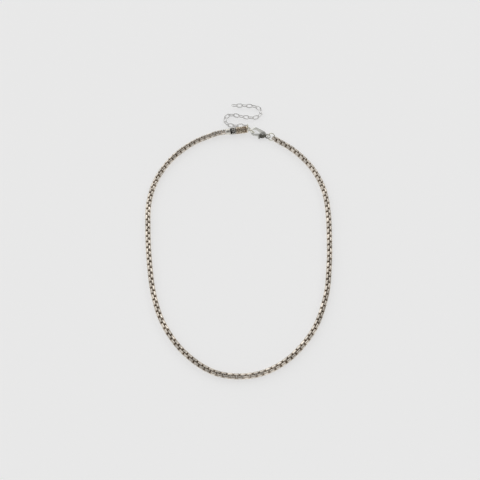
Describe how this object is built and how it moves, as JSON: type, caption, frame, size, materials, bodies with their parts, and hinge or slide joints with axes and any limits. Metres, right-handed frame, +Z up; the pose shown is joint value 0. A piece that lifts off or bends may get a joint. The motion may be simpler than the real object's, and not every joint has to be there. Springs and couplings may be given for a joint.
{
  "type": "box chain necklace",
  "caption": "Round box chain necklace with an ornamented barrel bead, a lobster clasp with a sprung lever and a cable extender, lying fastened on a surface.",
  "frame": {"origin": "centre of the outline at the surface that the necklace lies on", "axes": "+Z up; +Y from the front of the loop to the clasp and the extender; +X to the clasp's side"},
  "size_m": [0.12, 0.1903, 0.0047],
  "materials": {
    "chain_metal": "polished steel with dark gaps",
    "barrel_metal": "antiqued steel, brown in its recesses",
    "ring_metal": "polished",
    "extender_metal": "polished",
    "clasp_metal": "polished"
  },
  "bodies": {
    "necklace": {"box_chain": "chain_metal", "barrel_bead": "barrel_metal", "joining_ring": "ring_metal", "extender_ring": "ring_metal", "extender_chain": "extender_metal", "clasp_body": "clasp_metal", "clasp_pin": "clasp_metal", "clasp_ring": "ring_metal"},
    "lever": {"clasp_lever": "clasp_metal"}
  },
  "joints": [
    {"name": "lever_pivot", "type": "hinge", "parent": "necklace", "child": "lever", "pos_m": [0.0164, 0.06977, 0.0015], "axis": [0, 0, 1], "range_deg": [-24, 0], "stiffness_Nm_per_rad": 0.01, "springref_deg": 8.59}
  ]
}
